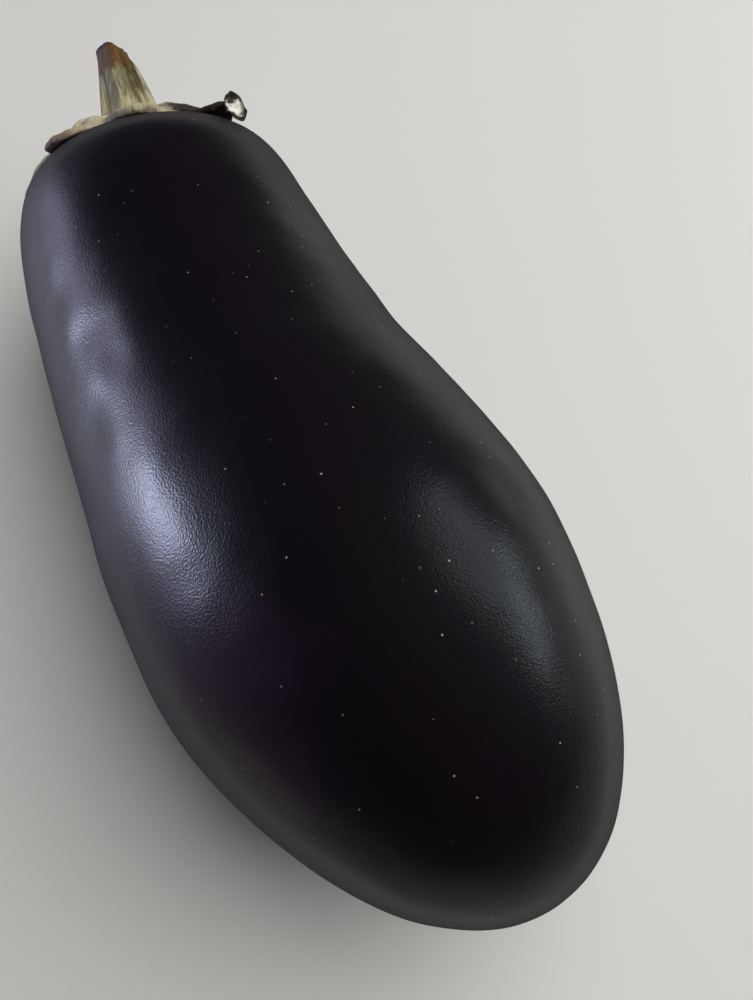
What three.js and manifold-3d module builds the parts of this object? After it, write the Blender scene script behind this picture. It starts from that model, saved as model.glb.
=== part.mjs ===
// A globe eggplant as picked, lying on its side: the fruit, the calyx that caps it and the cut stem.
// Millimetres, +Z up. The fruit lies along Y with its stem end at +Y and rests on the plane Z = 0.
import * as THREE from 'three';
import { mergeVertices } from 'three/addons/utils/BufferGeometryUtils.js';
import Module from 'manifold-3d';

const wasm = await Module();
wasm.setup();

// Fruit. Lengths along the fruit are measured from the blossom end.
const FRUIT_LENGTH = 193.5;
const SHOULDER_START = 159;
const SHOULDER_RADIUS = 36.4;
const SHOULDER_FALL = 3.8;
const SHOULDER_FULLNESS = 3.9;
const SHOULDER_SQUARENESS = 3.3;
const FRUIT_PROFILE = [
  [0, 0],
  [1.2, 7.7],
  [5.8, 16.7],
  [16.5, 27.1],
  [35, 36.6],
  [60, 43.3],
  [87, 43.1],
  [114, 40.1],
  [139.5, 37.9],
  [SHOULDER_START, SHOULDER_RADIUS],
];

// Growth and rest. The middle bows to -X and the stem end hooks to +X and up, while the whole
// fruit slopes down towards its neck, so that it lies on a narrow flat under its belly.
const BOW = 6.4;
const HOOK_SIDE = 2.9;
const HOOK_RISE = 12;
const HOOK_POWER = 7;
const REST_SLOPE = 0.125;
const REST_SINK = 0.5;

// Calyx. Angles are degrees around the fruit's axis, from +X towards +Z.
const TOUCH_GAP = 0.3;
const CALYX_RADIUS = 21;
const CALYX_CENTRE_THICKNESS = 7;
const CALYX_EDGE_THICKNESS = 2.2;
const CALYX_DOME_POWER = 1.4;
const CALYX_LOBES = [
  { angle: 127.5, length: 8.5, halfWidth: 15 },
  { angle: 85, length: 5.5, halfWidth: 14 },
  { angle: 37.5, length: 9.5, halfWidth: 17 },
  { angle: -20, length: 10.5, halfWidth: 18 },
  { angle: -77.5, length: 11, halfWidth: 17 },
  { angle: -132.5, length: 10.5, halfWidth: 17 },
  { angle: 175, length: 9, halfWidth: 16 },
];

// Stem.
const STEM_LENGTH = 18.5;
const STEM_BASE_RADIUS = 8;
const STEM_TIP_RADIUS = 3.6;
const STEM_TAPER_POWER = 1.3;
const STEM_RIBS = 7;
const STEM_RIB_DEPTH = 0.35;
const STEM_LEAN = -0.6;

// Finishes.
const FINISHES = {
  fruit: { color: 0x1a1219, roughness: 0.25 },
  calyx: { color: 0x8d8a74, roughness: 0.8 },
  stem: { color: 0x8f8f68, roughness: 0.75 },
};

// Mesh fineness.
const MERGE_DISTANCE = 1e-4;
const FRUIT_SEGMENTS = 48;
const PROFILE_STEPS = 36;
const SHOULDER_STEPS = 16;
const CALYX_SEGMENTS = 60;
const CALYX_STEPS = 14;
const STEM_SEGMENTS = 42;
const STEM_STEPS = 12;

// The shoulder's radius at a part, 0 to 1, of the way from its start to the stem end.
function shoulderRadius(part) {
  const open = Math.max(1 - part ** SHOULDER_FULLNESS, 0);
  return SHOULDER_RADIUS * open ** (1 / SHOULDER_SQUARENESS) - SHOULDER_FALL * part * open;
}

// The shoulder's outline from the stem end outwards, as points of radius and distance along.
function shoulderOutline() {
  return Array.from({ length: SHOULDER_STEPS + 1 }, (_, i) => {
    const part = 1 - (i / SHOULDER_STEPS) ** 2;
    const along = SHOULDER_START + (FRUIT_LENGTH - SHOULDER_START) * part;
    return new THREE.Vector2(shoulderRadius(part), along);
  });
}

// The fruit's crooked centre line, which runs on straight past both ends.
function centreLine(along) {
  const part = THREE.MathUtils.clamp(along / FRUIT_LENGTH, 0, 1);
  const hook = part ** HOOK_POWER;
  const hookSlope = (HOOK_POWER * part ** (HOOK_POWER - 1)) / FRUIT_LENGTH;
  const bowSlope = (4 * (1 - 2 * part)) / FRUIT_LENGTH;
  const middle = part * FRUIT_LENGTH;
  const centre = new THREE.Vector3(
    HOOK_SIDE * hook - BOW * 4 * part * (1 - part),
    middle,
    HOOK_RISE * hook - REST_SLOPE * middle,
  );
  const tangent = new THREE.Vector3(
    HOOK_SIDE * hookSlope - BOW * bowSlope,
    1,
    HOOK_RISE * hookSlope - REST_SLOPE,
  );
  centre.addScaledVector(tangent, along - middle);
  return { centre, tangent: tangent.normalize() };
}

// Bends a shape that was made straight along Y onto the centre line, square to it.
function growCrooked(geometry) {
  const up = new THREE.Vector3(0, 0, 1);
  return reshape(geometry, (point) => {
    const { centre, tangent } = centreLine(point.y);
    const side = tangent.clone().cross(up).normalize();
    const rise = side.clone().cross(tangent);
    point.copy(centre.addScaledVector(side, point.x).addScaledVector(rise, point.z));
  });
}

// Moves each vertex of a geometry by a function of its place.
function reshape(geometry, move) {
  const points = geometry.getAttribute('position');
  const point = new THREE.Vector3();
  for (let i = 0; i < points.count; i += 1) {
    point.fromBufferAttribute(points, i);
    move(point);
    points.setXYZ(i, point.x, point.y, point.z);
  }
  return geometry;
}

function toSolid(geometry) {
  const bare = geometry.clone();
  bare.deleteAttribute('normal');
  bare.deleteAttribute('uv');
  const merged = mergeVertices(bare, MERGE_DISTANCE);
  const vertProperties = new Float32Array(merged.getAttribute('position').array);
  const triVerts = new Uint32Array(merged.getIndex().array);
  return new wasm.Manifold(new wasm.Mesh({ numProp: 3, vertProperties, triVerts }));
}

function fromSolid(solid) {
  const { vertProperties, triVerts } = solid.getMesh();
  const geometry = new THREE.BufferGeometry();
  geometry.setAttribute('position', new THREE.BufferAttribute(vertProperties, 3));
  geometry.setIndex(new THREE.BufferAttribute(triVerts, 1));
  geometry.computeVertexNormals();
  return geometry;
}

// The whole fruit: narrow at the shoulder, widest in its blossom half.
function fruitGeometry() {
  const profile = FRUIT_PROFILE.map(([along, radius]) => new THREE.Vector2(radius, along));
  const outline = new THREE.SplineCurve(profile).getPoints(PROFILE_STEPS);
  outline.push(...shoulderOutline().reverse().slice(1));
  return growCrooked(new THREE.LatheGeometry(outline, FRUIT_SEGMENTS));
}

// How far the calyx reaches from the axis in a direction around it.
function calyxReach(angle) {
  return CALYX_LOBES.reduce((reach, lobe) => {
    const apart = THREE.MathUtils.euclideanModulo(angle - lobe.angle + 180, 360) - 180;
    return reach + lobe.length * Math.exp(-((apart / lobe.halfWidth) ** 2));
  }, CALYX_RADIUS);
}

// A leathery cap that hugs the shoulder and is drawn out into blunt lobes. It is turned as a
// disc with an underside (y = 0) and a top (y = 1), then wrapped over the shoulder, each point
// as far from the stem end along the skin as it was from the disc's middle.
function calyxGeometry() {
  const outline = [];
  for (let i = 0; i <= CALYX_STEPS; i += 1) outline.push(new THREE.Vector2(i / CALYX_STEPS, 0));
  for (let i = CALYX_STEPS; i >= 0; i -= 1) outline.push(new THREE.Vector2(i / CALYX_STEPS, 1));
  const shoulder = new THREE.SplineCurve(shoulderOutline());
  const wrap = (point) => {
    const part = Math.min(Math.hypot(point.x, point.z), 1);
    const around = Math.atan2(point.z, point.x);
    const arc = (part * calyxReach(THREE.MathUtils.radToDeg(around))) / shoulder.getLength();
    const fall = CALYX_CENTRE_THICKNESS - CALYX_EDGE_THICKNESS;
    const thickness = CALYX_EDGE_THICKNESS + fall * (1 - part) ** CALYX_DOME_POWER;
    const stand = TOUCH_GAP + point.y * thickness;
    const skin = shoulder.getPointAt(arc);
    const along = part > 0 ? shoulder.getTangentAt(arc) : new THREE.Vector2(1, 0);
    const radius = skin.x - along.y * stand;
    point.set(radius * Math.cos(around), skin.y + along.x * stand, radius * Math.sin(around));
  };
  return growCrooked(reshape(new THREE.LatheGeometry(outline, CALYX_SEGMENTS), wrap));
}

// The cut stem: flared where it leaves the calyx, ribbed, and leaning a little.
function stemGeometry() {
  const foot = FRUIT_LENGTH + 2 * TOUCH_GAP + CALYX_CENTRE_THICKNESS;
  const outline = [new THREE.Vector2(0, foot)];
  for (let i = 0; i <= STEM_STEPS; i += 1) {
    const part = i / STEM_STEPS;
    const flare = (STEM_BASE_RADIUS - STEM_TIP_RADIUS) * (1 - part) ** STEM_TAPER_POWER;
    outline.push(new THREE.Vector2(STEM_TIP_RADIUS + flare, foot + STEM_LENGTH * part));
  }
  outline.push(new THREE.Vector2(0, foot + STEM_LENGTH));
  const rib = (point) => {
    const radius = Math.hypot(point.x, point.z);
    const angle = Math.atan2(point.z, point.x);
    const depth = radius > 0 ? STEM_RIB_DEPTH / STEM_TIP_RADIUS : 0;
    const scale = 1 + depth * Math.cos(STEM_RIBS * angle);
    const rise = (point.y - foot) / STEM_LENGTH;
    point.x = point.x * scale + STEM_LEAN * rise ** 2;
    point.z *= scale;
  };
  return growCrooked(reshape(new THREE.LatheGeometry(outline, STEM_SEGMENTS), rib));
}

function piece(name, geometry) {
  const material = new THREE.MeshStandardMaterial({ ...FINISHES[name], metalness: 0 });
  const mesh = new THREE.Mesh(geometry, material);
  mesh.name = name;
  return mesh;
}

// Cuts the flat on which the fruit rests, just above its lowest point, and tells how far the
// fruit then has to be lifted onto the resting plane.
function restFruit(geometry) {
  geometry.computeBoundingBox();
  const middle = geometry.boundingBox.getCenter(new THREE.Vector3());
  const size = geometry.boundingBox.getSize(new THREE.Vector3());
  const restHeight = geometry.boundingBox.min.z + REST_SINK;
  const floor = new THREE.BoxGeometry(2 * size.x, 2 * size.y, size.z);
  floor.translate(middle.x, middle.y, restHeight - size.z / 2);
  return { rested: fromSolid(toSolid(geometry).subtract(toSolid(floor))), lift: -restHeight };
}

const { rested, lift } = restFruit(fruitGeometry());
const eggplant = new THREE.Group();
eggplant.add(piece('fruit', rested));
eggplant.add(piece('calyx', calyxGeometry()));
eggplant.add(piece('stem', stemGeometry()));

// The origin is on the resting plane, under the middle of the whole piece.
const box = new THREE.Box3().setFromObject(eggplant);
const middle = box.getCenter(new THREE.Vector3());
eggplant.position.set(-middle.x, -middle.y, lift);

export default eggplant;
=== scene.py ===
import math
import random

import bpy
from mathutils import Matrix, Vector, noise


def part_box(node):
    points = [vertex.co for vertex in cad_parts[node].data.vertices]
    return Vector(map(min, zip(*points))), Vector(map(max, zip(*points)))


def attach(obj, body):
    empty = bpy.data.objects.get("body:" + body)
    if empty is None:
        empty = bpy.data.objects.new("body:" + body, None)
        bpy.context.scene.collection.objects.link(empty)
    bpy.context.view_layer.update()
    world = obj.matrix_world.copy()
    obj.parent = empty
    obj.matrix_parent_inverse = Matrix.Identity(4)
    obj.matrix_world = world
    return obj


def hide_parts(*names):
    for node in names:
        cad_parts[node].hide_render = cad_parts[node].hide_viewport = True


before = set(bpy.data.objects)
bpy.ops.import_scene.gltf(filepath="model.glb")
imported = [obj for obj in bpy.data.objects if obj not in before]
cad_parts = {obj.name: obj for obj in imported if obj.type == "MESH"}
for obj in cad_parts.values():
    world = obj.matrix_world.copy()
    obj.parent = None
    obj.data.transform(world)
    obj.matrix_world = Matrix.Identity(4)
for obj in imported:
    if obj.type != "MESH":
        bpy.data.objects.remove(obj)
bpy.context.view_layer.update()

bl_info = {
    "name": "Globe Eggplant",
    "version": (1, 0, 0),
    "blender": (4, 5, 0),
    "location": "View3D > Sidebar > Eggplant",
    "description": "Models a whole globe eggplant lying on its side, with its calyx and cut stem",
    "category": "Add Mesh",
}

BODY = "root"
MM = 0.001
UP = Vector((0, 0, 1))

# The blossom end, from which every length along the fruit is measured, and how far in it lies
# from the low corner of the fruit's box.
BLOSSOM_INSET = Vector((49.81, 0.35, 53.57)) * MM
BLOSSOM_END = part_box("fruit")[0] + BLOSSOM_INSET


def linear(hex_colour):
    """An sRGB hex colour as linear red, green and blue."""
    channels = [int(hex_colour[i:i + 2], 16) / 255 for i in (1, 3, 5)]
    return tuple(c / 12.92 if c <= 0.04045 else ((c + 0.055) / 1.055) ** 2.4 for c in channels)


def length_prop(name, description, millimetres):
    return bpy.props.FloatProperty(
        name=name, description=description, default=millimetres * MM, unit="LENGTH", precision=5)


def colour_prop(name, description, hex_colour):
    return bpy.props.FloatVectorProperty(
        name=name, description=description, default=linear(hex_colour), subtype="COLOR",
        min=0, max=1)


class FruitSettings(bpy.types.PropertyGroup):
    length: length_prop("Length", "Blossom end to stem end", 193.5)
    shoulder_start: length_prop("Shoulder start", "Where the shoulder begins to close in", 159)
    shoulder_radius: length_prop("Shoulder radius", "Radius at the start of the shoulder", 36.4)
    shoulder_fall: length_prop("Shoulder fall", "How much the shoulder slopes in", 3.8)
    bow: length_prop("Bow", "How far the middle bows to one side", 6.4)
    hook_side: length_prop("Hook sideways", "How far the stem end hooks sideways", 2.9)
    hook_rise: length_prop("Hook up", "How far the stem end hooks up", 12)
    ring_spacing: length_prop("Ring spacing", "Distance between rings of the mesh", 2.8)
    unevenness: length_prop("Unevenness", "Height of the broad swells of the skin", 0.7)
    skin_dark: colour_prop("Skin", "The near-black skin", "#0f0b10")
    # This purple also serves as painted light on the window's side of the skin.
    skin_purple_and_window_light: colour_prop("Purple skin", "Skin where the purple shows through", "#2d1832")
    speck: colour_prop("Specks", "Pale corky specks", "#b3a796")
    scar: colour_prop("Blossom scar", "Corky mark at the blossom end", "#6d4a34")


class CalyxSettings(bpy.types.PropertyGroup):
    radius: length_prop("Collar radius", "Reach of the collar between the lobes", 21)
    thickness: length_prop("Thickness", "Thickness at the collar", 2.4)
    fresh: colour_prop("Fresh", "Grey-green calyx", "#a0a088")
    tan: colour_prop("Tan", "Dried tan calyx", "#c2b89b")
    dried: colour_prop("Dried", "Dried brown-black edges", "#2a211c")
    mauve: colour_prop("Mauve", "Mauve-brown lobe tips", "#6e5a56")


class StemSettings(bpy.types.PropertyGroup):
    green: colour_prop("Green", "Green flesh of the stem", "#90927a")
    # The pale colour is partly a painted highlight on the ridge that faces the window, and the dark
    # one is partly painted shade in the furrow beside it.
    pale: colour_prop("Pale", "Pale fibres", "#c9c2a2")
    brown: colour_prop("Brown", "Dried reddish-brown end", "#8a6344")
    dark: colour_prop("Dark", "Dark rim and furrows", "#453526")


class StageSettings(bpy.types.PropertyGroup):
    floor_colour: colour_prop("Floor", "Plain pale floor", "#cfcdca")
    camera_distance: length_prop("Camera distance", "From the aim point on the floor", 238.7)
    camera_elevation: bpy.props.FloatProperty(
        name="Elevation", description="Camera height angle", default=math.radians(70),
        subtype="ANGLE")
    camera_azimuth: bpy.props.FloatProperty(
        name="Azimuth", description="Camera turn about the vertical", default=math.radians(-29.3),
        subtype="ANGLE")
    lens: bpy.props.FloatProperty(
        name="Lens", description="Focal length in millimetres", default=32.4)


# Radius of the fruit at distances from the blossom end, in millimetres.
FRUIT_PROFILE = (
    (0, 0), (1.2, 7.7), (5.8, 16.7), (16.5, 27.1), (35, 36.6), (60, 43.3), (87, 43.1),
    (114, 40.1), (139.5, 37.9), (159, 36.4),
)
PROFILE_STEPS = 24
SHOULDER_STEPS = 120
SHOULDER_FULLNESS = 3.9
SHOULDER_SQUARENESS = 3.3
HOOK_POWER = 7
REST_SLOPE = 0.125
FRUIT_SEGMENTS = 96
SWELL_SIZE = 0.026

# Shallow dents in the skin, and bumps between them: distance from the blossom end, degrees
# around the fruit, height and width. All but the degrees are in millimetres.
DENTS = (
    (130, 124, -0.6, 10),
    (119.5, 123, -0.5, 6),
    (112, 138, -0.4, 10),
    (112, 20, -0.6, 14),
    (80, 100, 0.3, 18),
    (60, 46, -0.5, 10),
    (47, 73, -0.25, 9),
    (34, 45, 0.15, 4),
)


def smooth_curve(points, steps):
    """Points of a smooth curve through the given ones, with even steps between each two."""
    knots = [Vector(p) for p in points]
    curve = []
    for i in range(len(knots) - 1):
        before, start = knots[max(i - 1, 0)], knots[i]
        end, after = knots[i + 1], knots[min(i + 2, len(knots) - 1)]
        leave, arrive = (end - before) / 2, (after - start) / 2
        for step in range(steps):
            t = step / steps
            bend = (2 * start - 2 * end + leave + arrive) * t ** 3
            pull = (3 * end - 3 * start - 2 * leave - arrive) * t ** 2
            curve.append(bend + pull + leave * t + start)
    return curve + [knots[-1]]


def even_spacing(curve, spacing):
    """The same curve as points that lie about a spacing apart along it."""
    total = sum((b - a).length for a, b in zip(curve, curve[1:]))
    count = max(2, round(total / spacing))
    points, walked, target = [curve[0]], 0, total / count
    for a, b in zip(curve, curve[1:]):
        piece = (b - a).length
        while target <= walked + piece and len(points) < count:
            points.append(a.lerp(b, (target - walked) / piece))
            target = total * len(points) / count
        walked += piece
    return points + [curve[-1]]


def shoulder_outline(fruit):
    """The shoulder from where it starts to the stem end, as distance along and radius."""
    outline = []
    for i in range(SHOULDER_STEPS + 1):
        part = 1 - (1 - i / SHOULDER_STEPS) ** 2
        still_open = 1 - part ** SHOULDER_FULLNESS
        radius = fruit.shoulder_radius * still_open ** (1 / SHOULDER_SQUARENESS)
        radius -= fruit.shoulder_fall * part * still_open
        along = fruit.shoulder_start + (fruit.length - fruit.shoulder_start) * part
        outline.append(Vector((along, radius)))
    return outline


def fruit_outline(fruit):
    """The whole fruit's outline, as distance along and radius, from blossom to stem end."""
    body = [p * MM for p in smooth_curve(FRUIT_PROFILE, PROFILE_STEPS)]
    return body + shoulder_outline(fruit)[1:]


def centre_line(fruit, along):
    """Point and direction of the fruit's crooked centre line, straight past both ends."""
    part = min(max(along / fruit.length, 0), 1)
    hook = part ** HOOK_POWER
    hook_slope = HOOK_POWER * part ** (HOOK_POWER - 1) / fruit.length
    bow_slope = 4 * (1 - 2 * part) / fruit.length
    middle = part * fruit.length
    point = Vector((
        fruit.hook_side * hook - fruit.bow * 4 * part * (1 - part),
        middle,
        fruit.hook_rise * hook - REST_SLOPE * middle))
    slope = Vector((
        fruit.hook_side * hook_slope - fruit.bow * bow_slope,
        1,
        fruit.hook_rise * hook_slope - REST_SLOPE))
    return BLOSSOM_END + point + slope * (along - middle), slope.normalized()


def across(direction):
    """The sideways and upward directions square to a direction."""
    side = direction.cross(UP).normalized()
    return side, side.cross(direction)


def ring_point(fruit, along, radius, degrees):
    """A point at a distance from the centre line and an angle around it."""
    centre, direction = centre_line(fruit, along)
    side, rise = across(direction)
    angle = math.radians(degrees)
    return centre + radius * (math.cos(angle) * side + math.sin(angle) * rise)


def skin_point(fruit, along, degrees):
    """A point on the skin at a distance from the blossom end and an angle around the fruit."""
    outline = fruit_outline(fruit)
    after = next(i for i, p in enumerate(outline) if p.x >= along)
    a, b = outline[max(after - 1, 0)], outline[after]
    share = (along - a.x) / (b.x - a.x) if b.x > a.x else 0
    return ring_point(fruit, along, a.y + (b.y - a.y) * share, degrees)


def object_mode():
    bpy.ops.object.mode_set(mode="OBJECT")


def nothing_selected():
    if bpy.context.object and bpy.context.object.mode != "OBJECT":
        object_mode()
    bpy.ops.object.select_all(action="DESELECT")


def select_only(piece):
    nothing_selected()
    bpy.context.view_layer.objects.active = piece
    piece.select_set(True)


def edit():
    bpy.ops.object.mode_set(mode="EDIT")
    bpy.ops.mesh.select_mode(type="VERT")
    bpy.ops.mesh.select_all(action="DESELECT")


def pick(test):
    """Selects the vertices that pass a test, in edit mode."""
    bpy.ops.mesh.select_all(action="DESELECT")
    object_mode()
    for vertex in bpy.context.object.data.vertices:
        vertex.select = test(vertex)
    bpy.ops.object.mode_set(mode="EDIT")


def pick_nearest(point):
    """Selects the vertex that is nearest a point."""
    nearest = min(bpy.context.object.data.vertices, key=lambda v: (v.co - point).length).index
    pick(lambda vertex: vertex.index == nearest)


def turn(angle, axis, centre):
    """Turns the selection by the right-hand rule. With no window the operator turns the other
    way, so the angle is negated."""
    flat = axis.orthogonal().normalized()
    matrix = Matrix((flat, axis.cross(flat), axis)).transposed()
    bpy.ops.transform.rotate(
        value=-angle, orient_axis="Z", orient_matrix=matrix, center_override=centre)


def first_ring(name, centre, direction, radius, segments):
    """Starts a piece as one ring square to a direction, at its place, with its object at rest."""
    side, rise = across(direction)
    facing = Matrix((side, -rise, direction)).transposed()
    nothing_selected()
    bpy.ops.mesh.primitive_circle_add(
        vertices=segments, radius=radius, location=centre, rotation=facing.to_euler())
    bpy.ops.object.transform_apply(location=True, rotation=True, scale=True)
    piece = bpy.context.object
    piece.name = name
    piece.data.name = name
    edit()
    bpy.ops.mesh.select_all(action="SELECT")
    return piece


def next_ring(before, after):
    """Extrudes the selected ring; each ring is its centre, direction and radius."""
    move = after[0] - before[0]
    bpy.ops.mesh.extrude_region_move(TRANSFORM_OT_translate={"value": move})
    size = after[2] / before[2]
    bpy.ops.transform.resize(value=(size, size, size), center_override=after[0])
    axis = before[1].cross(after[1])
    if axis.length > 1e-6:
        turn(before[1].angle(after[1]), axis.normalized(), after[0])


def grow(name, rings, segments):
    """Models a piece as its first ring, extruded on through the others."""
    piece = first_ring(name, *rings[0], segments)
    for before, after in zip(rings, rings[1:]):
        next_ring(before, after)
    return piece


def close_ring(ring):
    """Closes an open ring with a fan of faces."""
    centre, _, radius = ring
    pick(lambda vertex: (vertex.co - centre).length < radius * 1.02)
    bpy.ops.mesh.edge_face_add()
    bpy.ops.mesh.poke()


def apply_modifier(piece, kind, **settings):
    modifier = piece.modifiers.new(kind.title(), kind)
    for name, value in settings.items():
        setattr(modifier, name, value)
    select_only(piece)
    bpy.ops.object.modifier_apply(modifier=modifier.name)


def subdivide_smoothly(piece, levels):
    apply_modifier(piece, "SUBSURF", levels=levels, render_levels=levels)


def swell(piece, name, size, height):
    """Raises and lowers the surface by a soft noise of a size and a height."""
    clouds = bpy.data.textures.new(name, "CLOUDS")
    clouds.noise_scale = size
    apply_modifier(piece, "DISPLACE", texture=clouds, texture_coords="GLOBAL", strength=height)


def finish_piece(piece, node, material):
    """Shades a piece, gives it its material and ties it to the frame."""
    select_only(piece)
    bpy.ops.object.shade_smooth()
    piece.data.materials.append(material)
    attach(piece, BODY)
    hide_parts(node)


def outward_normals():
    bpy.ops.mesh.select_all(action="SELECT")
    bpy.ops.mesh.normals_make_consistent(inside=False)


def add_node(material, kind, inputs=None, stops=None, **settings):
    """Adds a shader node of a kind. An input is a value or the socket that feeds it; stops are
    the positions and colours of a colour ramp."""
    tree = material.node_tree
    node = tree.nodes.new("ShaderNode" + kind)
    for name, value in settings.items():
        setattr(node, name, value)
    for name, value in (inputs or {}).items():
        if isinstance(value, bpy.types.NodeSocket):
            tree.links.new(value, node.inputs[name])
        else:
            node.inputs[name].default_value = value
    for i, (position, shade) in enumerate(stops or ()):
        ramp = node.color_ramp.elements
        stop = ramp[i] if i < 2 else ramp.new(position)
        stop.position = position
        stop.color = rgba(shade)
    return node


def new_material(name):
    material = bpy.data.materials.new(name)
    material.use_nodes = True
    material.node_tree.nodes.clear()
    return material


BLACK = (0, 0, 0)
WHITE = (1, 1, 1)
GREY = (0.5, 0.5, 0.5)


def rgba(colour):
    return (*colour, 1)


def eggplant_skin(fruit):
    """Waxy eggplant skin: a dark purple layer under a clear, faintly goose-pimpled wax coat.
    It gives near-black depth, a soft window-like gloss and a few pale corky specks."""
    skin = new_material("waxy_eggplant_skin")
    place = add_node(skin, "TexCoord").outputs["Object"]

    # Broad patches where the purple shows through, plus painted light: the purple is stronger on
    # the -X flank, the window's side, where the window's light falls.
    patches = add_node(skin, "TexNoise", {
        "Vector": place, "Scale": 1 / 0.045, "Detail": 3.0, "Roughness": 0.55})
    sides = add_node(skin, "SeparateXYZ", {"Vector": place})
    # Painted light: more purple towards -X, the window's side, standing in for the window's light
    # falling on that flank.
    lean = add_node(skin, "MapRange", {
        "Value": sides.outputs["X"], "From Min": 0.004, "From Max": -0.040,
        "To Min": -0.50, "To Max": 0.32})
    purple = add_node(skin, "Math", {
        0: patches.outputs["Fac"], 1: lean.outputs["Result"]}, operation="ADD", use_clamp=True)
    purple_and_window_light_mask = add_node(skin, "ValToRGB", {"Fac": purple.outputs[0]}, stops=(
        (0.45, BLACK), (0.95, WHITE)))
    base = add_node(skin, "Mix", {
        0: purple_and_window_light_mask.outputs["Color"], 6: rgba(fruit.skin_dark), 7: rgba(fruit.skin_purple_and_window_light)},
        data_type="RGBA")

    # Pale corky specks, up to half a millimetre across and about 3 mm apart, most of them faint.
    cells = add_node(skin, "TexVoronoi", {"Vector": place, "Scale": 1 / 0.0032})
    dot = add_node(skin, "MapRange", {
        "Value": cells.outputs["Distance"], "From Min": 0.024, "From Max": 0.075,
        "To Min": 1.0, "To Max": 0.0})
    chance = add_node(skin, "SeparateColor", {"Color": cells.outputs["Color"]})
    rare = add_node(skin, "Math", {
        0: chance.outputs[0], 1: 0.15}, operation="GREATER_THAN")
    faint = add_node(skin, "MapRange", {
        "Value": chance.outputs[1], "To Min": 0.04, "To Max": 0.75})
    speck = add_node(skin, "Math", {
        0: dot.outputs["Result"], 1: rare.outputs[0]}, operation="MULTIPLY")
    speck_strength = add_node(skin, "Math", {
        0: speck.outputs[0], 1: faint.outputs["Result"]}, operation="MULTIPLY")
    specked = add_node(skin, "Mix", {
        0: speck_strength.outputs[0], 6: base.outputs[2], 7: rgba(fruit.speck)},
        data_type="RGBA")

    # A brown corky scar, about 7 mm across, where the blossom fell off.
    from_blossom = add_node(skin, "VectorMath", {
        0: place, 1: BLOSSOM_END}, operation="DISTANCE")
    ragged = add_node(skin, "TexNoise", {"Vector": place, "Scale": 1 / 0.0018})
    ragged_distance = add_node(skin, "Math", {
        0: ragged.outputs["Fac"], 1: 0.004, 2: from_blossom.outputs["Value"]},
        operation="MULTIPLY_ADD")
    scarred = add_node(skin, "MapRange", {
        "Value": ragged_distance.outputs[0], "From Min": 0.0062, "From Max": 0.0048,
        "To Max": 0.8})
    coloured = add_node(skin, "Mix", {
        0: scarred.outputs["Result"], 6: specked.outputs[2], 7: rgba(fruit.scar)},
        data_type="RGBA")

    # Goose pimples about 0.4 mm apart over gentle ripples 7 mm apart.
    pimples = add_node(skin, "TexNoise", {
        "Vector": place, "Scale": 1 / 0.0004, "Detail": 0.0})
    ripples = add_node(skin, "TexNoise", {
        "Vector": place, "Scale": 1 / 0.007, "Detail": 0.0})
    rippled = add_node(skin, "Bump", {
        "Height": ripples.outputs["Fac"], "Strength": 0.12, "Distance": 0.0006})
    pimpled = add_node(skin, "Bump", {
        "Height": pimples.outputs["Fac"], "Strength": 0.5, "Distance": 0.00008,
        "Normal": rippled.outputs["Normal"]})

    # The wax lies thinner in places, so the gloss varies a little, and the pimples hide the
    # gloss where the skin turns away.
    wax = add_node(skin, "MapRange", {
        "Value": patches.outputs["Fac"], "To Min": 0.24, "To Max": 0.38})
    turned_away = add_node(skin, "MapRange", {
        "Value": add_node(skin, "LayerWeight").outputs["Facing"],
        "From Min": 0.60, "From Max": 0.95, "To Max": 0.42})
    dullness = add_node(skin, "Math", {
        0: wax.outputs["Result"], 1: turned_away.outputs["Result"]}, operation="ADD")
    shader = add_node(skin, "BsdfPrincipled", {
        "Base Color": coloured.outputs[2], "Roughness": dullness.outputs[0], "IOR": 1.25,
        "Normal": pimpled.outputs["Normal"]})
    add_node(skin, "OutputMaterial", {"Surface": shader.outputs[0]})
    return skin


class EGGPLANT_OT_fruit(bpy.types.Operator):
    """Model the fruit: rings grown along its crooked line, with dents and a resting flat"""
    bl_idname = "eggplant.fruit"
    bl_label = "Fruit"

    def execute(self, context):
        fruit = context.scene.eggplant_fruit
        outline = even_spacing(fruit_outline(fruit), fruit.ring_spacing)
        rings = [(*centre_line(fruit, p.x), p.y) for p in outline[1:-1]]
        piece = grow("fruit_skin", rings, FRUIT_SEGMENTS)
        close_ring(rings[-1])
        close_ring(rings[0])
        outward_normals()
        self.dent(fruit)
        object_mode()
        subdivide_smoothly(piece, 1)
        swell(piece, "broad_swells", SWELL_SIZE, fruit.unevenness)
        self.rest()
        finish_piece(piece, "fruit", eggplant_skin(fruit))
        return {"FINISHED"}

    def dent(self, fruit):
        """Presses the shallow dents into the skin and lifts the bumps between them."""
        for along, degrees, height, width in DENTS:
            centre = skin_point(fruit, along * MM, degrees)
            out = (centre - centre_line(fruit, along * MM)[0]).normalized()
            pick_nearest(centre)
            bpy.ops.transform.translate(
                value=out * height * MM, use_proportional_edit=True,
                proportional_edit_falloff="SMOOTH", proportional_size=width * MM)

    def rest(self):
        """Presses the underside flat where the fruit rests."""
        edit()
        pick(lambda vertex: vertex.co.z < 0)
        bpy.ops.transform.resize(value=(1, 1, 0), center_override=(0, 0, 0))
        object_mode()


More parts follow.
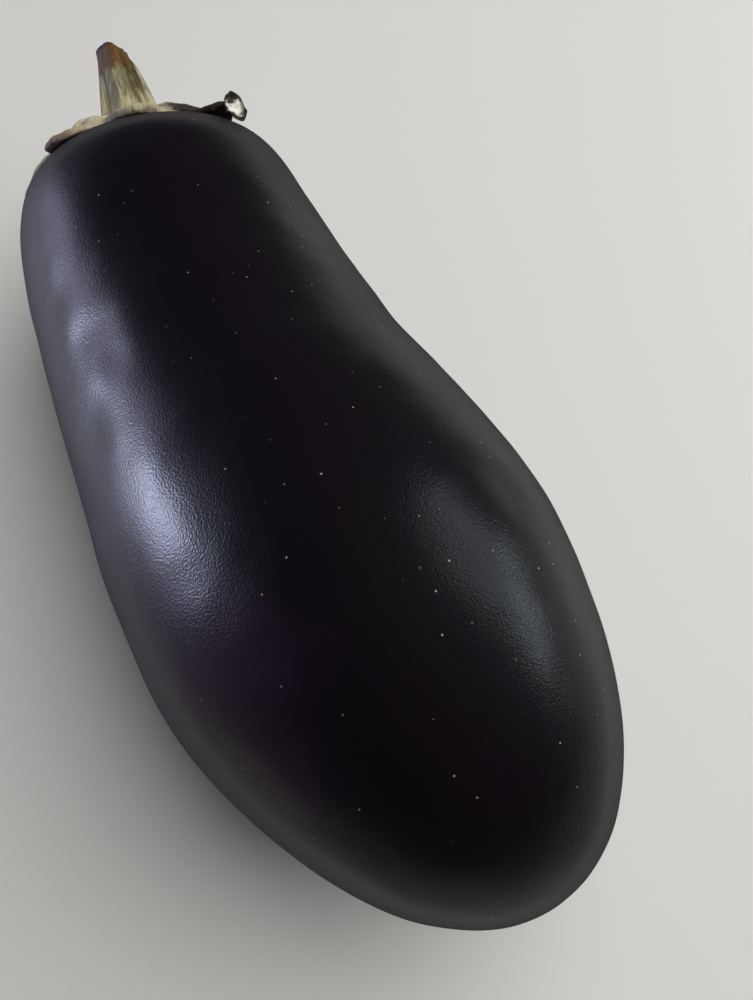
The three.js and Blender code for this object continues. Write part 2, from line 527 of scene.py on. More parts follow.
# Lobes of the calyx: the angles around the fruit where each begins and ends, how far over the
# skin its tip reaches from the stem end, in millimetres, and the tip's share of its width.
CALYX_LOBES = (
    (105, 150, 29.0, 0.42),
    (65, 105, 26.5, 0.30),
    (10, 65, 30.5, 0.18),
    (-50, 10, 31.5, 0.15),
    (-105, -50, 32.5, 0.12),
    (-160, -105, 31.5, 0.16),
    (-210, -160, 30.0, 0.22),
)
CALYX_RINGS = (4.5, 7.5, 10, 12.5, 15, 17.5)
CALYX_STEP = 5
LOBE_STEPS = 5
LOBE_TAPER_POWER = 1.15
SKIN_GAP = 0.0003
MARGIN_SEED = 11
MARGIN_RAGGEDNESS = 0.35

# Where lobes curl off the skin: angle around, then distance over the skin and degrees of curl.
CURLS = (
    (37.5, ((29.0, 20), (27.0, 25), (24.5, 12))),
    (127.5, ((27.5, 3), (25.0, 4))),
    (-20, ((29.5, 25), (27, 10))),
    (-132.5, ((29, 20), (26, 8))),
)
CURL_HALF_ANGLE = 34

# The calyx swells to a dome under the stem and thins towards its margin. Some parts are thinner
# still: the degrees around between which each lies, how far out it starts in millimetres and
# the share of the thickness that is left.
DOME_THICKNESS = 9.5
DOME_REACH = 25
MARGIN_THINNING = 0.4
THIN_PARTS = (
    (65, 110, 12, 0.7),
    (8.5, 50, 19, 0.55),
    (50, 66.5, 19, 0.3),
    (104.5, 150.5, 20, 0.6),
)

# The rib along each lobe, and the heights of the folds, of the finer ones and of the lumps.
RIB_HEIGHT = 0.0006
RIB_WIDTH = 0.0017
FOLD_HEIGHT = 0.00055
FINE_FOLD_HEIGHT = 0.0003
LUMP_HEIGHT = 0.0003

# The papery flake: its place sideways, back along the fruit and up from the stem end, and the
# drop and radius of its cup's rings, in millimetres.
FLAKE_PLACE = (24.8, 3.1, 20.2)
FLAKE_CUP = ((0, 2.9), (-0.4, 2.5), (-0.9, 1.7), (-1.1, 0.8))
FLAKE_SEGMENTS = 30
FLAKE_SEED = 4
FLAKE_THICKNESS = 0.00022

# Where the calyx has dried black-brown and where a lobe's tip is mauve. Each pair, in degrees
# around or in metres out, is where the colour starts to change and where the change is complete.
DRIED_FIRST_SIDE = (6, 22)
DRIED_LAST_SIDE = (55, 64)
DRIED_REACH = (0.0165, 0.0205)
MAUVE_LOBE = 127.5
MAUVE_SPREAD = (22, 28)
MAUVE_REACH = (0.0262, 0.0276)
MAUVE_STRENGTH = 0.75

# The streaks run outward: they are close together around the stem and long away from it.
STREAK_AROUND = 0.014
STREAK_OUTWARD = 0.15


def cap_outline_point(fruit, reach, stand=0.0):
    """Where a distance over the shoulder's skin from the stem end lies, off the skin by stand,
    as distance along and radius."""
    outline = shoulder_outline(fruit)[::-1]
    for a, b in zip(outline, outline[1:]):
        piece = (b - a).length
        if piece >= reach:
            break
        reach -= piece
    run = (b - a).normalized()
    return a + run * reach + Vector((run.y, -run.x)) * stand


def cap_point(fruit, reach, degrees, stand=0.0):
    """The same as a point in space at an angle around the fruit."""
    spot = cap_outline_point(fruit, reach, stand)
    return ring_point(fruit, spot.x, spot.y, degrees)


def stem_frame(fruit):
    """The stem end's place, and its sideways, downward and lengthwise directions."""
    end, direction = centre_line(fruit, fruit.length)
    side, rise = across(direction)
    return end, Matrix((side, -rise, direction)).transposed()


def around_stem(fruit, point):
    """A point's angle in degrees around the stem end, and its distance from it."""
    end, axes = stem_frame(fruit)
    local = axes.transposed() @ (point - end)
    return math.degrees(math.atan2(-local.y, local.x)), local.length


def apart(a, b):
    """The difference between two angles in degrees, from -180 to 180."""
    return (a - b + 180) % 360 - 180


def fade(value, start, end):
    """Rises smoothly from 0 at the start to 1 at the end."""
    t = min(max((value - start) / (end - start), 0), 1)
    return t * t * (3 - 2 * t)


def sculpt(piece, move):
    """Moves each vertex by hand, as a sculpting brush would."""
    mesh = piece.data
    moves = [move(vertex.co.copy(), vertex.normal.copy()) for vertex in mesh.vertices]
    for vertex, delta in zip(mesh.vertices, moves):
        vertex.co += delta
    mesh.update()


def paint(piece, name, value, kind="FLOAT", field="value"):
    """Stores a number or a vector for each vertex, which the material reads."""
    layer = piece.data.attributes.new(name, kind, "POINT")
    for vertex in piece.data.vertices:
        setattr(layer.data[vertex.index], field, value(vertex))


def dry_calyx(calyx):
    """Leathery calyx, dried in the air: mottled grey-green and tan with streaks that run outward,
    brown specks, and one lobe shrivelled black-brown. It gives a matt, wrinkled look."""
    leaf = new_material("dry_leathery_calyx")
    place = add_node(leaf, "TexCoord").outputs["Object"]
    flow = add_node(leaf, "Attribute", attribute_name="flow").outputs["Vector"]
    margin, dried, mauve = (
        add_node(leaf, "Attribute", attribute_name=name).outputs["Fac"]
        for name in ("margin", "dried", "mauve"))

    mottle = add_node(leaf, "TexNoise", {
        "Vector": place, "Scale": 1 / 0.005, "Detail": 4.0, "Roughness": 0.6})
    base = add_node(leaf, "ValToRGB", {"Fac": mottle.outputs["Fac"]}, stops=(
        (0.33, calyx.fresh), (0.62, calyx.tan)))
    streaks = add_node(leaf, "TexNoise", {
        "Vector": flow, "Scale": 1 / 0.0009, "Detail": 3.0, "Roughness": 0.6})
    streak_shade = add_node(leaf, "ValToRGB", {"Fac": streaks.outputs["Fac"]}, stops=(
        (0.30, linear("#8c8674")), (0.58, WHITE)))
    streaked = add_node(leaf, "Mix", {
        0: 0.75, 6: base.outputs["Color"], 7: streak_shade.outputs["Color"]},
        data_type="RGBA", blend_type="MULTIPLY")

    # Brown specks under a millimetre across, and a browner margin.
    specks = add_node(leaf, "TexNoise", {"Vector": place, "Scale": 1 / 0.0014})
    speckled = add_node(leaf, "ValToRGB", {"Fac": specks.outputs["Fac"]}, stops=(
        (0.60, BLACK), (0.70, GREY)))
    browned = add_node(leaf, "Mix", {
        0: speckled.outputs["Color"], 6: streaked.outputs[2], 7: rgba(linear("#5b4a38"))},
        data_type="RGBA")
    edge_mottle = add_node(leaf, "MapRange", {
        "Value": mottle.outputs["Fac"], "From Min": 0.3, "From Max": 0.65,
        "To Min": 0.05, "To Max": 0.7})
    edge_amount = add_node(leaf, "Math", {
        0: margin, 1: edge_mottle.outputs["Result"]}, operation="MULTIPLY")
    edged = add_node(leaf, "Mix", {
        0: edge_amount.outputs[0], 6: browned.outputs[2], 7: rgba(linear("#85765c"))},
        data_type="RGBA")
    tipped = add_node(leaf, "Mix", {
        0: mauve, 6: edged.outputs[2], 7: rgba(calyx.mauve)}, data_type="RGBA")

    # The shrivelled lobe dries unevenly, so its edge is broken up by the mottle.
    uneven = add_node(leaf, "MapRange", {
        "Value": specks.outputs["Fac"], "From Min": 0.3, "From Max": 0.7,
        "To Min": -0.25, "To Max": 0.25})
    shrivel = add_node(leaf, "Math", {
        0: dried, 1: uneven.outputs["Result"]}, operation="ADD", use_clamp=True)
    shrivelled = add_node(leaf, "ValToRGB", {"Fac": shrivel.outputs[0]}, stops=(
        (0.20, BLACK), (0.60, WHITE)))
    shrivelled_shade = add_node(leaf, "ValToRGB", {"Fac": shrivel.outputs[0]}, stops=(
        (0.40, linear("#66523f")), (0.90, calyx.dried)))
    veined = add_node(leaf, "Mix", {
        0: 0.6, 6: shrivelled_shade.outputs["Color"], 7: streak_shade.outputs["Color"]},
        data_type="RGBA", blend_type="MULTIPLY")
    colour = add_node(leaf, "Mix", {
        0: shrivelled.outputs["Color"], 6: tipped.outputs[2], 7: veined.outputs[2]},
        data_type="RGBA")

    grain = add_node(leaf, "TexNoise", {"Vector": place, "Scale": 1 / 0.0005})
    rough = add_node(leaf, "Bump", {
        "Height": streaks.outputs["Fac"], "Strength": 0.7, "Distance": 0.0004})
    grained = add_node(leaf, "Bump", {
        "Height": grain.outputs["Fac"], "Strength": 0.5, "Distance": 0.00012,
        "Normal": rough.outputs["Normal"]})
    shader = add_node(leaf, "BsdfPrincipled", {
        "Base Color": colour.outputs[2], "Roughness": 0.72, "IOR": 1.3,
        "Normal": grained.outputs["Normal"]})
    add_node(leaf, "OutputMaterial", {"Surface": shader.outputs[0]})
    return leaf


def papery_calyx(calyx):
    """Calyx tissue dried to a thin papery skin, with a dark brittle edge. Its whitish middle is
    partly the tissue's colour and partly a painted highlight of light shining through it.
    """
    paper = new_material("papery_dried_calyx")
    place = add_node(paper, "TexCoord").outputs["Object"]
    rim = add_node(paper, "Attribute", attribute_name="rim").outputs["Fac"]
    veins = add_node(paper, "TexNoise", {
        "Vector": place, "Scale": 1 / 0.0012, "Detail": 3.0, "Roughness": 0.6})
    uneven = add_node(paper, "MapRange", {
        "Value": veins.outputs["Fac"], "From Min": 0.3, "From Max": 0.7,
        "To Min": -0.35, "To Max": 0.55})
    dark = add_node(paper, "Math", {
        0: rim, 1: uneven.outputs["Result"]}, operation="ADD", use_clamp=True)
    # Painted highlight: the whitish middle stands partly for light shining through the thin tissue.
    colour = add_node(paper, "ValToRGB", {"Fac": dark.outputs[0]}, stops=(
        (0.2, linear("#d6d2c8")), (0.85, calyx.dried)))
    crinkled = add_node(paper, "Bump", {
        "Height": veins.outputs["Fac"], "Strength": 0.6, "Distance": 0.0003})
    shader = add_node(paper, "BsdfPrincipled", {
        "Base Color": colour.outputs["Color"], "Roughness": 0.55, "IOR": 1.35,
        "Normal": crinkled.outputs["Normal"]})
    add_node(paper, "OutputMaterial", {"Surface": shader.outputs[0]})
    return paper


class EGGPLANT_OT_calyx(bpy.types.Operator):
    """Model the calyx: a collar grown over the shoulder, drawn out into curling lobes"""
    bl_idname = "eggplant.calyx"
    bl_label = "Calyx"

    def execute(self, context):
        fruit = context.scene.eggplant_fruit
        calyx = context.scene.eggplant_calyx
        rings = []
        for reach in (*(ring * MM for ring in CALYX_RINGS), calyx.radius):
            spot = cap_outline_point(fruit, reach)
            rings.append((*centre_line(fruit, spot.x), spot.y))
        piece = grow("calyx_cap", rings, 360 // CALYX_STEP)
        close_ring(rings[0])
        for first, last, tip, narrow in CALYX_LOBES:
            self.draw_out(fruit, calyx, first, last, tip * MM, narrow)
        outward_normals()
        object_mode()
        if sum(p.normal.dot(rings[0][1]) * p.area for p in piece.data.polygons) < 0:
            piece.data.flip_normals()
        apply_modifier(
            piece, "SHRINKWRAP", target=bpy.data.objects["fruit_skin"],
            wrap_method="NEAREST_SURFACEPOINT", wrap_mode="ABOVE_SURFACE", offset=SKIN_GAP)
        self.mark_margin(piece)
        self.roughen_margin(piece)
        self.curl(fruit, piece)
        self.thicken(fruit, calyx, piece)
        subdivide_smoothly(piece, 2)
        self.wrinkle(fruit, piece)
        self.colour(fruit, piece)
        finish_piece(piece, "calyx", dry_calyx(calyx))
        self.papery_tip(fruit, calyx)
        return {"FINISHED"}

    def draw_out(self, fruit, calyx, first, last, tip, narrow):
        """Extrudes one lobe from the collar's rim, narrower at each step."""
        middle = (first + last) / 2
        rim = [cap_point(fruit, calyx.radius, a) for a in range(first, last + 1, CALYX_STEP)]
        pick(lambda vertex: min((vertex.co - p).length for p in rim) < 0.2 * MM)
        before, width = cap_point(fruit, calyx.radius, middle), 1
        for step in range(1, LOBE_STEPS + 1):
            share = step / LOBE_STEPS
            after = cap_point(fruit, calyx.radius + (tip - calyx.radius) * share, middle)
            bpy.ops.mesh.extrude_region_move(TRANSFORM_OT_translate={"value": after - before})
            size = (1 - (1 - narrow) * share ** LOBE_TAPER_POWER) / width
            bpy.ops.transform.resize(value=(size, size, size), center_override=after)
            before, width = after, width * size

    def mark_margin(self, piece):
        """Marks the margin, so that the thickness and the colour can follow it."""
        edit()
        bpy.ops.mesh.select_non_manifold(
            extend=False, use_wire=False, use_boundary=True, use_multi_face=False,
            use_non_contiguous=False, use_verts=False)
        object_mode()
        paint(piece, "margin", lambda vertex: float(vertex.select))

    def roughen_margin(self, piece):
        """Makes the margin a little ragged."""
        draw = random.Random(MARGIN_SEED)
        margin = piece.data.attributes["margin"]
        for vertex in piece.data.vertices:
            if margin.data[vertex.index].value > 0.5:
                shift = Vector([draw.uniform(-1, 1) for _ in range(3)]) * MARGIN_RAGGEDNESS * MM
                vertex.co += shift - vertex.normal * shift.dot(vertex.normal) * 0.5

    def curl(self, fruit, piece):
        """Curls lobes off the skin, tip first, so that each bend carries the ones before."""
        places = [around_stem(fruit, vertex.co) for vertex in piece.data.vertices]
        edit()
        for degrees, bends in CURLS:
            for reach, bend in bends:
                hinge = cap_point(fruit, reach * MM, degrees)
                limit = (hinge - stem_frame(fruit)[0]).length
                outward = cap_point(fruit, reach * MM + 0.0005, degrees) - hinge
                off_skin = cap_point(fruit, reach * MM, degrees, 0.001) - hinge
                pick(lambda vertex: places[vertex.index][1] > limit and abs(
                    apart(places[vertex.index][0], degrees)) < CURL_HALF_ANGLE)
                turn(math.radians(bend), outward.cross(off_skin).normalized(), hinge)
        object_mode()

    def thicken(self, fruit, calyx, piece):
        """Gives the sheet its thickness: a dome under the stem, thin at the margin."""
        dome = DOME_THICKNESS * MM
        group = piece.vertex_groups.new(name="thickness")
        margin = piece.data.attributes["margin"]
        for vertex in piece.data.vertices:
            degrees, reach = around_stem(fruit, vertex.co)
            share = min(reach / (DOME_REACH * MM), 1)
            thick = calyx.thickness + (dome - calyx.thickness) * (1 - share)
            thick *= 1 - MARGIN_THINNING * margin.data[vertex.index].value
            for first, last, start, left in THIN_PARTS:
                if first < degrees <= last and reach > start * MM:
                    thick *= left
            group.add([vertex.index], thick / dome, "REPLACE")
        apply_modifier(
            piece, "SOLIDIFY", thickness=dome, offset=1.0, vertex_group="thickness")

    def wrinkle(self, fruit, piece):
        """Raises a rib along each lobe and wrinkles the leathery top between the ribs."""
        end, axes = stem_frame(fruit)
        core = end - axes.col[2] * 0.018
        middles = [(first + last) / 2 for first, last, _, _ in CALYX_LOBES]

        def move(co, normal):
            facing = fade(normal.dot((co - core).normalized()), 0.1, 0.5)
            degrees, reach = around_stem(fruit, co)
            off_rib = min(abs(apart(degrees, m)) for m in middles)
            across_rib = math.radians(off_rib) * reach
            rib = RIB_HEIGHT * math.exp(-((across_rib / RIB_WIDTH) ** 2))
            rib *= fade(reach, 0.006, 0.013)
            angle = math.radians(degrees)
            ring = Vector((math.cos(angle), math.sin(angle), 0)) * 5.5
            folds = noise.noise(ring + UP * reach * 60) * FOLD_HEIGHT
            fine = noise.noise(ring * 3.1 + UP * reach * 170) * FINE_FOLD_HEIGHT
            lumps = noise.noise(co / 0.0032) * LUMP_HEIGHT
            return normal * facing * (rib + folds + fine + lumps)

        sculpt(piece, move)

    def papery_tip(self, fruit, calyx):
        """Adds the thin papery flake that peels up from the shrivelled lobe's tip."""
        end, axes = stem_frame(fruit)
        side, down, along = axes.col
        sideways, back, up = FLAKE_PLACE
        centre = end + (side * sideways - along * back - down * up) * MM
        facing = (side * 0.35 + along * 0.25 - down).normalized()
        rings = [(centre + facing * drop * MM, facing, radius * MM) for drop, radius in FLAKE_CUP]
        flake = grow("calyx_papery_tip", rings, FLAKE_SEGMENTS)
        close_ring(rings[-1])
        outward_normals()
        object_mode()
        noise.seed_set(FLAKE_SEED)

        def ruffle(co, normal):
            out = co - centre
            longer = along * out.dot(along) * 0.35 - side * out.dot(side) * 0.15
            crumple = noise.noise_vector(co / 0.0019) * 0.0010
            lift = noise.noise(co / 0.0012) * 0.0010 * fade(out.length, 0, 0.0026)
            return longer + crumple + facing * lift

        sculpt(flake, ruffle)
        paint(flake, "rim", lambda vertex: fade((vertex.co - centre).length, 0.0012, 0.0032))
        apply_modifier(flake, "SOLIDIFY", thickness=FLAKE_THICKNESS, offset=0.0)
        subdivide_smoothly(flake, 1)
        finish_piece(flake, "calyx", papery_calyx(calyx))

    def colour(self, fruit, piece):
        """Paints where the calyx has dried, and the direction in which its streaks run."""
        def dried(degrees, reach):
            side = fade(degrees, *DRIED_FIRST_SIDE) * (1 - fade(degrees, *DRIED_LAST_SIDE))
            return side * fade(reach, *DRIED_REACH)

        def mauve(degrees, reach):
            near = 1 - fade(abs(apart(degrees, MAUVE_LOBE)), *MAUVE_SPREAD)
            return MAUVE_STRENGTH * near * fade(reach, *MAUVE_REACH)

        def flow(degrees, reach):
            angle = math.radians(degrees)
            around = Vector((math.cos(angle), math.sin(angle), 0))
            return around * STREAK_AROUND + UP * reach * STREAK_OUTWARD

        places = [around_stem(fruit, vertex.co) for vertex in piece.data.vertices]
        paint(piece, "dried", lambda vertex: dried(*places[vertex.index]))
        paint(piece, "mauve", lambda vertex: mauve(*places[vertex.index]))
        paint(piece, "flow", lambda vertex: flow(*places[vertex.index]), "FLOAT_VECTOR", "vector")


# Rings of the stem: distance beyond the fruit's end and radius, in millimetres.
STEM_RINGS = (
    (3.0, 10.2), (5.0, 9.2), (7.2, 8.2), (9.4, 7.4), (11.6, 6.8), (14.0, 6.4), (16.5, 5.9),
    (19.2, 5.4), (22.3, 4.7), (25.5, 4.05), (27.2, 3.85), (28.2, 3.75),
)
STEM_LEAN = -0.9
STEM_SEGMENTS = 84

# The hollow of the cut end: drop from the rim in millimetres, and share of the rim's radius.
CUT_END = ((0.05, 0.92), (-0.3, 0.82), (-0.45, 0.5))
CUT_SLANT = -0.0022
CUT_RAGGEDNESS = 0.00025
CUT_RIM = (0.0270, 0.0278)

# What grooves the stem, each with its height first: ribs by their number and start, fibres by
# how fine and how long they are, and a furrow and its ridge by their degrees around and width.
STEM_RIBS = ((0.00022, 5, 0.9), (0.00012, 8, 2))
STEM_FIBRES = ((0.0005, 3.2, 0.011), (0.00022, 9, 0.012))
STEM_FURROWS = ((-0.0009, -50, 8), (0.0004, -68, 9))


def fibrous_stem(fruit, stem):
    """Fibrous cut stem: long green, cream and olive fibres under a thin dry skin, and an end that
    dried reddish brown after the cut. The cream band is partly a painted highlight, and the dark
    band beside it is partly painted shade. It gives fine lengthwise streaks and grooves."""
    wood = new_material("dried_fibrous_stem")
    place = add_node(wood, "TexCoord").outputs["Object"]
    end, axes = stem_frame(fruit)
    own = add_node(wood, "Mapping", {
        "Vector": place, "Location": end, "Rotation": axes.to_euler(), "Scale": (1, -1, 1)},
        vector_type="TEXTURE")
    parts = add_node(wood, "SeparateXYZ", {"Vector": own.outputs[0]})
    stretched = add_node(wood, "Mapping", {
        "Vector": own.outputs[0], "Scale": (1, 1, 0.12)})
    fibres = add_node(wood, "TexNoise", {
        "Vector": stretched.outputs[0], "Scale": 1 / 0.0008, "Detail": 3.0, "Roughness": 0.65})
    strands = add_node(wood, "TexNoise", {
        "Vector": stretched.outputs[0], "Scale": 1 / 0.0026})

    # The colour changes around the stem, from its underside round over its top. Partly it is the
    # fibres' own colour, and partly painted light: a painted highlight on the pale ridge that faces
    # the window, and painted shade in the furrow beside it.
    turned = add_node(wood, "Math", {
        0: parts.outputs["X"], 1: parts.outputs["Y"]}, operation="ARCTAN2")
    wander = add_node(wood, "MapRange", {
        "Value": strands.outputs["Fac"], "To Min": -0.7, "To Max": 0.7})
    wandering = add_node(wood, "Math", {
        0: turned.outputs[0], 1: wander.outputs["Result"]}, operation="ADD")
    around = add_node(wood, "MapRange", {
        "Value": wandering.outputs[0], "From Min": -math.pi, "From Max": math.pi})
    tan, grey_green, olive = linear("#a39d84"), linear("#a3a189"), linear("#74704f")
    # Painted highlight: the pale stops lie on the ridge that faces the window. Painted shade: the
    # dark stop just after them lies in the furrow.
    bark_and_painted_light = add_node(wood, "ValToRGB", {"Fac": around.outputs["Result"]}, stops=(
        (0.0, stem.green), (0.20, tan), (0.28, stem.pale), (0.335, stem.pale), (0.36, stem.dark),
        (0.385, tan), (0.45, stem.green), (0.56, olive), (0.605, stem.dark), (0.635, olive),
        (0.665, grey_green), (0.80, tan), (1.0, stem.green)))
    fissures = add_node(wood, "ValToRGB", {"Fac": fibres.outputs["Fac"]}, stops=(
        (0.28, linear("#6d6348")), (0.5, linear("#cfc9b4")), (0.70, WHITE)))

    # Towards the calyx the fibres are tan, like the calyx itself.
    ragged = add_node(wood, "MapRange", {
        "Value": strands.outputs["Fac"], "To Min": -0.0045, "To Max": 0.0045})
    height = add_node(wood, "Math", {
        0: parts.outputs["Z"], 1: ragged.outputs["Result"]}, operation="ADD")
    foot = add_node(wood, "MapRange", {
        "Value": height.outputs[0], "From Min": 0.0145, "From Max": 0.0085})

    # The last few millimetres dried reddish brown, olive brown on one side.
    dry_end = add_node(wood, "MapRange", {
        "Value": height.outputs[0], "From Min": 0.0200, "From Max": 0.0228})
    end_shade = add_node(wood, "ValToRGB", {"Fac": around.outputs["Result"]}, stops=(
        (0.30, stem.brown), (0.60, linear("#5d4526")), (0.9, stem.brown)))

    # The fissures between the fibres darken all three.
    barked, foot_streaked, end_streaked = (
        add_node(wood, "Mix", {0: depth, 6: shade, 7: fissures.outputs["Color"]},
                 data_type="RGBA", blend_type="MULTIPLY").outputs[2]
        for depth, shade in (
            (0.85, bark_and_painted_light.outputs["Color"]), (0.8, rgba(linear("#b5ad8f"))),
            (0.8, end_shade.outputs["Color"])))
    footed = add_node(wood, "Mix", {
        0: foot.outputs["Result"], 6: barked, 7: foot_streaked}, data_type="RGBA")
    ended = add_node(wood, "Mix", {
        0: dry_end.outputs["Result"], 6: footed.outputs[2], 7: end_streaked},
        data_type="RGBA")
    rim = add_node(wood, "Attribute", attribute_name="cut").outputs["Fac"]
    colour = add_node(wood, "Mix", {
        0: rim, 6: ended.outputs[2], 7: rgba(linear("#3b281c"))}, data_type="RGBA")

    grooves = add_node(wood, "Bump", {
        "Height": fibres.outputs["Fac"], "Strength": 0.8, "Distance": 0.0004})
    grain = add_node(wood, "TexNoise", {"Vector": place, "Scale": 1 / 0.0005})
    grained = add_node(wood, "Bump", {
        "Height": grain.outputs["Fac"], "Strength": 0.4, "Distance": 0.0001,
        "Normal": grooves.outputs["Normal"]})
    shader = add_node(wood, "BsdfPrincipled", {
        "Base Color": colour.outputs[2], "Roughness": 0.68, "IOR": 1.3,
        "Normal": grained.outputs["Normal"]})
    add_node(wood, "OutputMaterial", {"Surface": shader.outputs[0]})
    return wood


class EGGPLANT_OT_stem(bpy.types.Operator):
    """Model the stem: flared out of the calyx, grooved by its fibres, with a dried cut end"""
    bl_idname = "eggplant.stem"
    bl_label = "Stem"

    def execute(self, context):
        fruit = context.scene.eggplant_fruit
        stem = context.scene.eggplant_stem
        end, axes = stem_frame(fruit)
        side, along = axes.col[0], axes.col[2]
        foot, tip = STEM_RINGS[0][0], STEM_RINGS[-1][0]
        rings = []
        for beyond, radius in STEM_RINGS:
            lean = STEM_LEAN * ((beyond - foot) / (tip - foot)) ** 2
            rings.append((end + (along * beyond + side * lean) * MM, along, radius * MM))
        rim = rings[-1]
        rings += [(rim[0] + along * drop * MM, along, rim[2] * size) for drop, size in CUT_END]
        piece = grow("cut_stem", rings, STEM_SEGMENTS)
        close_ring(rings[-1])
        close_ring(rings[0])
        outward_normals()
        object_mode()
        subdivide_smoothly(piece, 2)
        self.groove(fruit, piece, tip * MM)
        paint(piece, "cut", lambda vertex: fade(
            (axes.transposed() @ (vertex.co - end)).z, *CUT_RIM))
        finish_piece(piece, "stem", fibrous_stem(fruit, stem))
        return {"FINISHED"}

    def groove(self, fruit, piece, tip):
        """Cuts the grooves between the fibres, the furrow on one side and the slanting end."""
        end, axes = stem_frame(fruit)
        to_local = axes.transposed()

        def move(co, normal):
            local = to_local @ (co - end)
            angle = math.atan2(local.x, -local.y)
            degrees = math.degrees(angle)
            height = local.z
            flank = 1 - fade(abs(normal.dot(axes.col[2])), 0.75, 0.95)
            ring = Vector((math.cos(angle), math.sin(angle), 0))
            ribs = sum(h * math.cos(count * angle + start) for h, count, start in STEM_RIBS)
            fibres = sum(
                h * noise.noise(ring * fine + UP * height / length)
                for h, fine, length in STEM_FIBRES)
            low = fade(height, 0.006, 0.010) * (1 - fade(height, 0.013, 0.019))
            furrows = low * sum(
                h * math.exp(-((apart(degrees, at) / width) ** 2))
                for h, at, width in STEM_FURROWS)
            ragged = noise.noise(ring * 4 + UP * 3) * CUT_RAGGEDNESS
            slant = CUT_SLANT * fade(local.x, -0.001, 0.0037) + ragged
            outward = Vector((local.x, local.y, 0)).normalized()
            delta = outward * flank * (ribs + fibres + furrows)
            delta.z += slant * fade(height, tip - 0.006, tip)
            return axes @ delta

        sculpt(piece, move)


def matt_floor(stage):
    """Smooth matt laminate. It gives a plain pale ground with soft shadows."""
    laminate = new_material("matt_laminate")
    shader = add_node(laminate, "BsdfPrincipled", {
        "Base Color": rgba(stage.floor_colour), "Roughness": 0.55})
    add_node(laminate, "OutputMaterial", {"Surface": shader.outputs[0]})
    return laminate


# Area lamps around the fruit: name, direction, distance, width, height, watts, colour, whether
# it lights surfaces and whether it shows in their gloss.
LAMPS = (
    ("window", (-0.80, 0.58, 0.14), 1.2, 0.21, 0.16, 13.0, "#d4deff", False, True),
    ("window_wall", (-0.74, 0.67, 0.06), 1.3, 1.05, 0.32, 7.6, "#cdc9f0", False, True),
    ("far_window", (0.925, -0.23, 0.30), 1.4, 0.5, 0.24, 5.2, "#e4f2f6", False, True),
    ("far_wall", (0.827, 0.06, 0.56), 1.4, 0.7, 0.34, 4.2, "#e4f2f6", False, True),
    ("ceiling", (0.72, -0.02, 1.0), 1.5, 2.1, 2.1, 46, "#fcfdfb", True, False),
)
LAMP_AIM = Vector((0, 0, 0.06))
WINDOW_SIDE = (-0.78, 0.62, 0)

# The camera's aim from the blossom end, before it is dropped to the floor.
CAMERA_AIM = Vector((16.5, 97.6, 0)) * MM
CAMERA_CLIP = 0.01
FLOOR_SIZE = 6


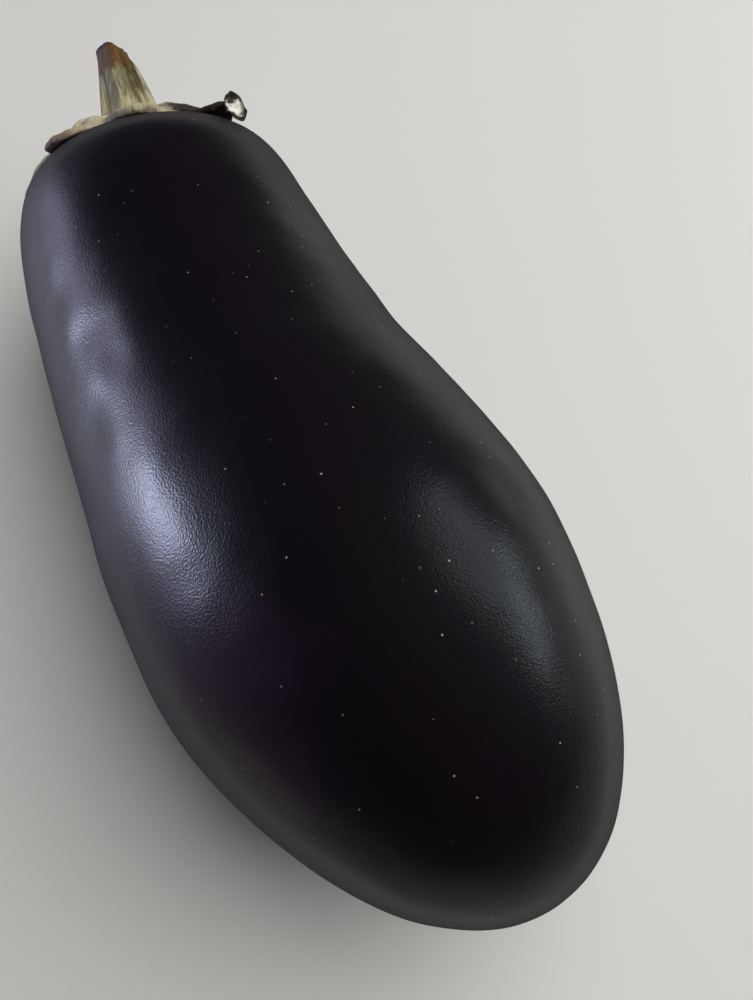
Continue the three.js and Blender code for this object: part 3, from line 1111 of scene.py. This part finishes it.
class EGGPLANT_OT_stage(bpy.types.Operator):
    """Lay the pale floor and set the soft lights and the camera"""
    bl_idname = "eggplant.stage"
    bl_label = "Floor, lights and camera"

    def execute(self, context):
        stage = context.scene.eggplant_stage
        self.floor(stage)
        self.lights()
        self.camera(context, stage)
        return {"FINISHED"}

    def floor(self, stage):
        nothing_selected()
        bpy.ops.mesh.primitive_plane_add(size=FLOOR_SIZE)
        floor = bpy.context.object
        floor.name = "floor"
        floor.data.materials.append(matt_floor(stage))

    def lights(self):
        for name, direction, distance, width, height, watts, colour, lit, gloss in LAMPS:
            nothing_selected()
            direction = Vector(direction).normalized()
            bpy.ops.object.light_add(type="AREA", location=LAMP_AIM + direction * distance)
            lamp = bpy.context.object
            lamp.name = name
            lamp.rotation_euler = direction.to_track_quat("Z", "Y").to_euler()
            lamp.data.shape = "RECTANGLE"
            lamp.data.size = width
            lamp.data.size_y = height
            lamp.data.energy = watts
            lamp.data.color = linear(colour)
            lamp.visible_diffuse = lit
            lamp.visible_glossy = gloss
        self.room()

    def room(self):
        """A dim room: lighter near the horizon on the window's side, and dark elsewhere."""
        world = bpy.data.worlds.new("room")
        bpy.context.scene.world = world
        world.use_nodes = True
        sky = add_node(world, "TexCoord").outputs["Generated"]
        height = add_node(world, "SeparateXYZ", {"Vector": sky})
        shade = add_node(world, "ValToRGB", {"Fac": height.outputs["Z"]}, stops=(
            (0.0, linear("#908ea0")), (0.25, linear("#6a6a76")), (0.6, linear("#2c2c30"))))
        towards = add_node(world, "VectorMath", {
            0: sky, 1: WINDOW_SIDE}, operation="DOT_PRODUCT")
        strength = add_node(world, "MapRange", {
            "Value": towards.outputs["Value"], "From Min": -0.1, "From Max": 0.8,
            "To Min": 0.12, "To Max": 1.0})
        backdrop = world.node_tree.nodes["Background"]
        world.node_tree.links.new(shade.outputs["Color"], backdrop.inputs["Color"])
        world.node_tree.links.new(strength.outputs["Result"], backdrop.inputs["Strength"])

    def camera(self, context, stage):
        aim = BLOSSOM_END + CAMERA_AIM
        aim.z = 0
        azimuth, elevation = stage.camera_azimuth, stage.camera_elevation
        back = Vector((
            math.sin(azimuth) * math.cos(elevation),
            -math.cos(azimuth) * math.cos(elevation),
            math.sin(elevation)))
        nothing_selected()
        bpy.ops.object.camera_add(location=aim + back * stage.camera_distance)
        camera = bpy.context.object
        camera.rotation_euler = back.to_track_quat("Z", "Y").to_euler()
        camera.data.lens = stage.lens
        camera.data.clip_start = CAMERA_CLIP
        context.scene.camera = camera
        context.scene.view_settings.view_transform = "Standard"


class EGGPLANT_PT_parts(bpy.types.Panel):
    """Lists the eggplant's settings and parts in the sidebar"""
    bl_label = "Eggplant"
    bl_idname = "EGGPLANT_PT_parts"
    bl_space_type = "VIEW_3D"
    bl_region_type = "UI"
    bl_category = "Eggplant"

    def draw(self, context):
        for name, group in SETTINGS.items():
            for setting in group.__annotations__:
                self.layout.prop(getattr(context.scene, name), setting)
        for operator in OPERATORS:
            self.layout.operator(operator.bl_idname)


OPERATORS = (EGGPLANT_OT_fruit, EGGPLANT_OT_calyx, EGGPLANT_OT_stem, EGGPLANT_OT_stage)
SETTINGS = {
    "eggplant_fruit": FruitSettings,
    "eggplant_calyx": CalyxSettings,
    "eggplant_stem": StemSettings,
    "eggplant_stage": StageSettings,
}
CLASSES = (*SETTINGS.values(), *OPERATORS, EGGPLANT_PT_parts)


def register():
    for cls in CLASSES:
        bpy.utils.register_class(cls)
    for name, group in SETTINGS.items():
        setattr(bpy.types.Scene, name, bpy.props.PointerProperty(type=group))


def unregister():
    for name in SETTINGS:
        delattr(bpy.types.Scene, name)
    for cls in reversed(CLASSES):
        bpy.utils.unregister_class(cls)


def main():
    register()
    bpy.ops.eggplant.fruit()
    bpy.ops.eggplant.calyx()
    bpy.ops.eggplant.stem()
    bpy.ops.eggplant.stage()


if __name__ == "__main__":
    main()
